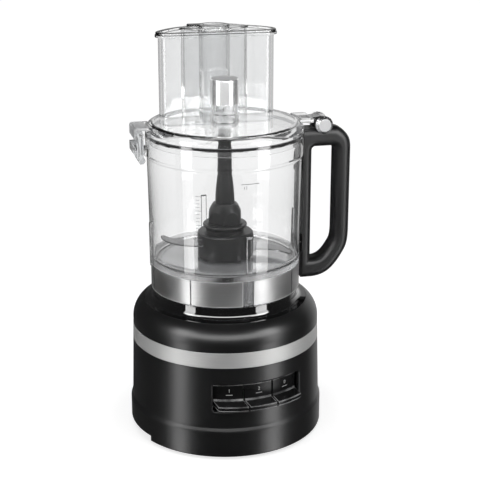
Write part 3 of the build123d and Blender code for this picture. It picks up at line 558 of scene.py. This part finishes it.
castLook = {
    **trimLook,
    "name": "castFrame",
    "tone": (0.4, 0.41, 0.42),
    "light": (0.5, 0.51, 0.52),
    "stretch": 0.0,
}
windingLook = {
    **trimLook,
    "name": "windings",
    "tone": (0.36, 0.13, 0.045),
    "light": (0.6, 0.25, 0.09),
    "lines": 6000.0,
}


# clear plastic
def hoodMask(tree, look):
    # the roof and the outer wall of the hood over the latch are left matt by their mould, and painted
    # grey as painted shade
    axes = axesOf(tree, objectPlace(tree))
    hood = remap(tree, axes["X"], look["frostFrom"], look["frostFrom"] - look["frostBlend"])
    roof = above(tree, axes["Z"], look["frostAbove"])
    wall = below(tree, axes["X"], look["frostBeyond"])
    return both(tree, hood, either(tree, roof, wall))


def footMask(tree, look):
    # the thick foot of the wall is made matt and painted grey, as painted shade
    place = objectPlace(tree)
    low = below(tree, axesOf(tree, place)["Z"], look["footBelow"])
    return both(tree, low, above(tree, planRadius(tree, place), look["footBeyond"]))


def pocketMask(tree, look):
    # painted shade in the pockets of the grip
    axes = axesOf(tree, objectPlace(tree))
    pocket = below(tree, mathNode(tree, "ABSOLUTE", axes["Y"]), look["pocketWithin"])
    pocket = both(tree, pocket, between(tree, axes["X"], *look["pocketAlong"]))
    return both(tree, pocket, between(tree, axes["Z"], *look["pocketUp"]))


def clearMaterial(look):
    material, tree, output = startMaterial(look["name"])
    grain = groupNode(tree, grainGroup, {"Grain Scale": look["grain"], "Cloud Scale": look["cloud"]})
    tone = mixColour(tree, grain["Tone"], solid(look["tone"]), solid(look["light"]))
    rough = roughen(tree, look["rough"], grain["Rough"], look["roughSwing"])
    if "frostFrom" in look:
        frost = hoodMask(tree, look)
        tone = paint(tree, frost, tone, look["frostShadeTone"])
        neck = below(tree, planRadius(tree, objectPlace(tree)), look["neckWithin"])
        matt = either(tree, frost, both(tree, neck, look["neckFrost"]))
        rough = roughen(tree, rough, matt, look["frostRough"])
    if "footBelow" in look:
        foot = footMask(tree, look)
        tone = paint(tree, foot, tone, look["footShadeTone"])
        rough = roughen(tree, rough, foot, look["footRough"])
    if "pocketWithin" in look:
        tone = paint(tree, pocketMask(tree, look), tone, look["pocketShadeTone"])
    inputs = {
        "Base Color": tone,
        "Roughness": rough,
        "IOR": look["bend"],
        "Transmission Weight": look["clear"],
    }
    shader = addNode(tree, "ShaderNodeBsdfPrincipled", inputs)
    through = addNode(tree, "ShaderNodeBsdfTransparent", {"Color": solid(look["shade"])})
    path = addNode(tree, "ShaderNodeLightPath")
    mixed = addNode(
        tree,
        "ShaderNodeMixShader",
        {0: path.outputs["Is Shadow Ray"], 1: shader.outputs[0], 2: through.outputs[0]},
    )
    tree.links.new(mixed.outputs[0], output.inputs["Surface"])
    return material


clearLook = {
    "name": "clearPlastic",
    "tone": (0.989, 0.991, 0.992),
    "light": (0.994, 0.996, 0.997),
    "shade": (0.96, 0.965, 0.97),
    "bend": 1.57,
    "clear": 1.0,
    "grain": 800.0,
    "cloud": 30.0,
    "rough": 0.012,
    "roughSwing": 0.006,
}
bowlLook = {
    **clearLook,
    "name": "bowlPlastic",
    "footBelow": 0.2068,
    "footBeyond": 0.0825,
    "footShadeTone": (0.5, 0.5, 0.505),
    "footRough": 0.25,
}
lidLook = {
    **clearLook,
    "name": "lidPlastic",
    "frostFrom": -0.0886,
    "frostBlend": 0.0006,
    "frostAbove": 0.3562,
    "frostBeyond": -0.1009,
    "frostShadeTone": (0.78, 0.785, 0.79),
    "frostRough": 0.35,
    "neckWithin": 0.0165,
    "neckFrost": 0.5,
}
latchLook = {
    **clearLook,
    "name": "latchPlastic",
    "tone": (0.72, 0.73, 0.74),
    "light": (0.8, 0.81, 0.82),
    "shade": (0.7, 0.7, 0.7),
    "rough": 0.1,
    "roughSwing": 0.03,
    "clear": 0.8,
    "pocketWithin": 0.0107,
    "pocketAlong": (-0.1039, -0.0997),
    "pocketUp": (0.3322, 0.3398),
    "pocketShadeTone": (0.01, 0.01, 0.01),
}

finishes = (
    (plasticMaterial(satinBlackLook), ["base_top_shell"]),
    (plasticMaterial(housingLook), ["base_housing"]),
    (plasticMaterial(glossBlackLook), ["bowl_seat"]),
    (plasticMaterial(handleLook), ["bowl_handle"]),
    (plasticMaterial(keyLook), ["key_low", "key_high", "key_pulse"]),
    (
        plasticMaterial(darkPlasticLook),
        ["bottom_cover", "cord_gland", "control_frame", "key_switches", "interlock_switch"],
    ),
    (
        plasticMaterial(stemLook),
        ["blade_hub", "blade_stem", "hub_collar", "drive_coupling", "hinge_bush"],
    ),
    (plasticMaterial(rubberLook), ["rubber_foot", "motor_isolators", "shaft_seal"]),
    (plasticMaterial(sealLook), ["lid_seal"]),
    (plasticMaterial(fanLook), ["cooling_fan"]),
    (plasticMaterial(boardLook), ["control_board"]),
    (metalMaterial(trimLook), ["trim_band"]),
    (metalMaterial(bandLook), ["bowl_band"]),
    (metalMaterial(bladeLook), ["lower_blade", "upper_blade"]),
    (metalMaterial(capLook), ["hub_cap"]),
    (metalMaterial(hingeLook), ["hinge_heads"]),
    (
        metalMaterial(steelLook),
        [
            "cover_screws",
            "handle_screws",
            "frame_screws",
            "hinge_pin",
            "latch_pin",
            "key_rod",
            "motor_shaft",
            "lower_bearing",
            "upper_bearing",
        ],
    ),
    (metalMaterial(laminationLook), ["motor_stator", "motor_rotor"]),
    (metalMaterial(castLook), ["motor_frame_lower", "motor_frame_upper"]),
    (metalMaterial(windingLook), ["stator_windings"]),
    (clearMaterial(bowlLook), ["bowl"]),
    (clearMaterial(clearLook), ["large_pusher", "medium_pusher", "small_pusher"]),
    (clearMaterial(lidLook), ["lid"]),
    (clearMaterial(latchLook), ["latch"]),
)
for material, members in finishes:
    for member in members:
        slots = nodes[member].data.materials
        slots.clear()
        slots.append(material)
bare = sorted(set(nodes) - {member for _, members in finishes for member in members})
print("finishes set, nodes without one:", bare)


# printed marks: thin curved patches and numerals that lie on the surface they are printed on
def addMesh(name, points, faces, material):
    mesh = bpy.data.meshes.new(name)
    mesh.from_pydata(points, [], faces)
    mesh.materials.append(material)
    piece = bpy.data.objects.new(name, mesh)
    bpy.context.scene.collection.objects.link(piece)
    return piece


def stripFaces(steps):
    # quads between two rows of steps + 1 points
    return [(i, i + 1, i + steps + 2, i + steps + 1) for i in range(steps)]


def curvedPatch(name, look, material):
    steps = 10
    sweep = look["to"] - look["from"]
    angles = [math.radians(look["from"] + sweep * i / steps) for i in range(steps + 1)]
    points = [
        (radius * mm * math.cos(a), radius * mm * math.sin(a), z * mm)
        for radius, z in ((look["lowRadius"], look["low"]), (look["highRadius"], look["high"]))
        for a in angles
    ]
    return addMesh(name, points, stripFaces(steps), material)


def numeral(name, look, material):
    data = bpy.data.curves.new(name, "FONT")
    data.body = look["text"]
    data.size = look["size"] * mm
    data.align_x = "CENTER"
    data.align_y = "CENTER"
    data.materials.append(material)
    mark = bpy.data.objects.new(name, data)
    bpy.context.scene.collection.objects.link(mark)
    a = math.radians(look["angle"])
    outward = Vector((math.cos(a), math.sin(a), 0.0))
    upward = Vector((0.0, 0.0, 1.0))
    turn = Matrix((upward.cross(outward), upward, outward)).transposed().to_4x4()
    place = outward * look["radius"] * mm + upward * look["height"] * mm
    mark.matrix_world = Matrix.Translation(place) @ turn
    return mark


keyMarkLook = {
    "middle": -82.0,
    "radius": 101.36,
    "size": 5.6,
    "height": 79.2,
    "dashHalf": 2.1,
    "dashLow": 73.9,
    "dashHigh": 74.6,
    "keys": (("key_low", "1", -32.6), ("key_high", "2", 0.6), ("key_pulse", "0", 33.6)),
}


def markKeys(look, material):
    radius = look["radius"]
    for keyBody, text, aside in look["keys"]:
        angle = look["middle"] + math.degrees(math.asin(aside / radius))
        dashLook = {
            "from": angle - look["dashHalf"],
            "to": angle + look["dashHalf"],
            "low": look["dashLow"],
            "high": look["dashHigh"],
            "lowRadius": radius,
            "highRadius": radius,
        }
        mark = numeral(keyBody + ".numeral", {**look, "text": text, "angle": angle}, material)
        dash = curvedPatch(keyBody + ".dash", dashLook, material)
        for piece in (mark, dash):
            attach(piece, keyBody)


bowlWallLook = {"from": 212.0, "radius": 84.7, "slope": 0.01649, "lift": 0.06}


def bowlRadius(z):
    # just outside the bowl's wall, which opens slightly upwards
    look = bowlWallLook
    return look["radius"] + (z - look["from"]) * look["slope"] + look["lift"]


bowlScaleLook = {
    "line": {"from": -91.4, "to": -78.0, "low": 308.6, "high": 309.3},
    "tickFrom": -124.2,
    "shortTo": -121.2,
    "longTo": -119.6,
    "longEvery": 4,
    "tickHeights": range(247, 297, 4),
    "tickThick": 0.5,
}


def markScale(look, material):
    marks = [look["line"]]
    for step, z in enumerate(look["tickHeights"]):
        end = look["shortTo"] if step % look["longEvery"] else look["longTo"]
        marks.append({"from": look["tickFrom"], "to": end, "low": z, "high": z + look["tickThick"]})
    for index, mark in enumerate(marks):
        radii = {"lowRadius": bowlRadius(mark["low"]), "highRadius": bowlRadius(mark["high"])}
        patch = curvedPatch(f"bowlScale.{index}", {**mark, **radii}, material)
        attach(patch, "bowl")


scaleMaterial = plasticMaterial(scaleLook)
markKeys(keyMarkLook, plasticMaterial(markLook))
markScale(bowlScaleLook, scaleMaterial)

# the steel carries on behind the clear rib where the band is open
bandBackLook = {
    "from": -90.0,
    "to": -81.0,
    "low": 170.8,
    "high": 198.6,
    "lowRadius": 82.42,
    "highRadius": 82.42,
}
bandBack = curvedPatch("bowl_band.back", bandBackLook, metalMaterial(backSteelLook))
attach(bandBack, "bowl")

levelLook = {"text": "13", "size": 4.6, "angle": -88.4, "height": 304.8}
levelRadius = bowlRadius(levelLook["height"])
level = numeral("bowlScale.numeral", {**levelLook, "radius": levelRadius}, scaleMaterial)
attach(level, "bowl")
print("marks printed")


# stage: pale floor, white surround, soft lamps and the cards that shine in the gloss
def floorMaterial(look):
    material, tree, output = startMaterial("paleFloor")
    place = objectPlace(tree)
    low = solid([look["tone"]] * 3)
    high = solid([look["tone"] * look["toneSwing"]] * 3)
    colour = mixColour(tree, noiseNode(tree, place, look["cloud"]), low, high)
    matt = addNode(tree, "ShaderNodeBsdfDiffuse", {"Color": colour})
    path = addNode(tree, "ShaderNodeLightPath").outputs
    away = vectorNode(tree, "LENGTH", place)
    bright = remap(tree, away, look["near"], look["far"], look["nearWhite"], look["farWhite"])
    glow = remap(tree, away, look["near"], look["far"], look["nearGlow"], look["farGlow"])
    mirrored = above(tree, path["Glossy Depth"], 0.5)  # rays that were mirrored on their way
    dark = remap(tree, away, look["darkNear"], look["darkFar"], look["dark"], look["farDark"])
    white = addNode(tree, "ShaderNodeEmission", {"Strength": mixValue(tree, mirrored, bright, dark)})
    seen = either(tree, path["Is Camera Ray"], path["Is Transmission Ray"])
    share = both(tree, seen, glow)
    mixed = addNode(tree, "ShaderNodeMixShader", {0: share, 1: matt.outputs[0], 2: white.outputs[0]})
    tree.links.new(mixed.outputs[0], output.inputs["Surface"])
    return material


floorLook = {
    "half": 4.0,
    "drop": -0.0002,
    "tone": 0.9,
    "toneSwing": 1.02,
    "cloud": 2.0,
    "dark": 0.3,
    "darkNear": 0.85,
    "darkFar": 1.1,
    "farDark": 0.58,
    "near": 0.13,
    "nearGlow": 0.35,
    "nearWhite": 2.05,
    "far": 0.5,
    "farGlow": 0.95,
    "farWhite": 1.06,
}
half, drop = floorLook["half"], floorLook["drop"]
corners = [(-half, -half, drop), (half, -half, drop), (half, half, drop), (-half, half, drop)]
floor = addMesh("floor", corners, [(0, 1, 2, 3)], floorMaterial(floorLook))
floor.visible_glossy = False  # gloss mirrors the cards and the surround, not the floor

cameraLook = {
    "place": (-0.3035, -1.3144, 0.666),
    "aim": (0.0166, -0.0038, 0.220),
    "lens": 93.75,
    "sensor": 36.0,
}
camera = bpy.data.objects.new("camera", bpy.data.cameras.new("camera"))
bpy.context.scene.collection.objects.link(camera)
camera.location = cameraLook["place"]
camera.data.lens = cameraLook["lens"]
camera.data.sensor_width = cameraLook["sensor"]
lookAlong = Vector(cameraLook["aim"]) - camera.location
camera.rotation_euler = lookAlong.to_track_quat("-Z", "Y").to_euler()
bpy.context.scene.camera = camera
viewAngle = math.atan2(cameraLook["place"][1], cameraLook["place"][0])


def roundTheObject(turn, distance, height):
    # a place turned about the object from the viewer's side
    a = viewAngle + math.radians(turn)
    return Vector((distance * math.cos(a), distance * math.sin(a), height))


sideBoxLook = {"wide": 0.5, "tall": 1.0, "level": 4.0, "distance": 1.5, "height": 0.75}
topBoxLook = {"wide": 1.2, "tall": 0.7, "level": 2.5, "distance": 0.4, "height": 1.6}
softboxes = (
    {**sideBoxLook, "name": "leftBox", "turn": -56},
    {**sideBoxLook, "name": "rightBox", "turn": 57},
    {**topBoxLook, "name": "topBox", "turn": 0},
)
lampAim = Vector((0.0, 0.0, 0.22))


def addSoftbox(look):
    data = bpy.data.lights.new(look["name"], "AREA")
    data.shape = "RECTANGLE"
    data.size = look["wide"]
    data.size_y = look["tall"]
    data.energy = look["level"] * math.pi * look["wide"] * look["tall"]
    lamp = bpy.data.objects.new(look["name"], data)
    bpy.context.scene.collection.objects.link(lamp)
    lamp.location = roundTheObject(look["turn"], look["distance"], look["height"])
    lamp.rotation_euler = (lampAim - lamp.location).to_track_quat("-Z", "Y").to_euler()
    lamp.visible_glossy = False


for look in softboxes:
    addSoftbox(look)


def cardMaterial(level):
    material, tree, output = startMaterial("card")
    glow = addNode(tree, "ShaderNodeEmission", {"Strength": level})
    tree.links.new(glow.outputs[0], output.inputs["Surface"])
    material.cycles.emission_sampling = "NONE"
    return material


def addCard(look):
    # a strip that bends round the object and shows only in gloss
    steps = 24
    turns = [look["turn"] + look["spread"] * (i / steps - 0.5) for i in range(steps + 1)]
    points = [roundTheObject(t, look["distance"], z) for z in (look["low"], look["high"]) for t in turns]
    card = addMesh(look["name"], points, stripFaces(steps), cardMaterial(look["level"]))
    card.visible_camera = False
    card.visible_diffuse = False
    card.visible_transmission = False
    card.visible_shadow = False


# each side's card in four heights, widest and brightest at the top
cardSides = (
    {"side": "left", "turn": -55, "spread": 17, "distance": 1.6},
    {"side": "right", "turn": 57, "spread": 19, "distance": 1.6},
)
cardHeights = (
    {"part": "Low", "low": -1.2, "high": -0.3, "level": 5.0, "wider": 0},
    {"part": "Bowl", "low": -0.3, "high": -0.16, "level": 1.5, "wider": 0},
    {"part": "", "low": -0.16, "high": 0.6, "level": 4.6, "wider": 0},
    {"part": "Top", "low": 0.6, "high": 1.5, "level": 9.0, "wider": 7},
)
frontCardLook = {
    "name": "frontCard",
    "turn": 0,
    "spread": 100,
    "distance": 0.8,
    "low": 0.36,
    "high": 0.68,
    "level": 6.0,
}
for height in cardHeights:
    for side in cardSides:
        name = side["side"] + height["part"] + "Card"
        addCard({**side, **height, "name": name, "spread": side["spread"] + height["wider"]})
addCard(frontCardLook)

worldLook = {
    "colour": (0.8, 0.8, 0.8),
    "ambient": 0.3,
    "white": 1.0,
    "seen": 1.26,
    "mirrored": {"ray": "Is Glossy Ray", "dark": 0.06, "from": 0.8, "to": 1.0, "lean": 25},
    "through": {"ray": "Is Transmission Ray", "dark": 0.5, "from": -0.4, "to": 0.12, "lean": 0},
}


def makeWorld(look):
    # white behind the object, darker on the viewer's side for what gloss and clear walls show
    world = bpy.data.worlds.new("studio")
    bpy.context.scene.world = world
    world.use_nodes = True
    tree = world.node_tree
    tree.nodes.clear()
    output = tree.nodes.new("ShaderNodeOutputWorld")
    direction = addNode(tree, "ShaderNodeTexCoord").outputs["Generated"]
    path = addNode(tree, "ShaderNodeLightPath").outputs
    level = look["ambient"]
    for part in (look["mirrored"], look["through"]):
        back = tuple(roundTheObject(180 - part["lean"], 1.0, 0.0))
        facing = vectorNode(tree, "DOT_PRODUCT", direction, back)
        surround = remap(tree, facing, part["from"], part["to"], part["dark"], look["white"])
        level = mixValue(tree, path[part["ray"]], level, surround)
    level = mixValue(tree, path["Is Camera Ray"], level, look["seen"])
    light = addNode(tree, "ShaderNodeBackground", {"Color": solid(look["colour"]), "Strength": level})
    tree.links.new(light.outputs[0], output.inputs["Surface"])


makeWorld(worldLook)
scene = bpy.context.scene
scene.view_settings.view_transform = "Standard"
bounces = 32  # enough for the many clear walls that stand behind one another
scene.cycles.max_bounces = bounces
scene.cycles.transmission_bounces = bounces
scene.cycles.transparent_max_bounces = bounces
scene.cycles.glossy_bounces = bounces
print("stage set")
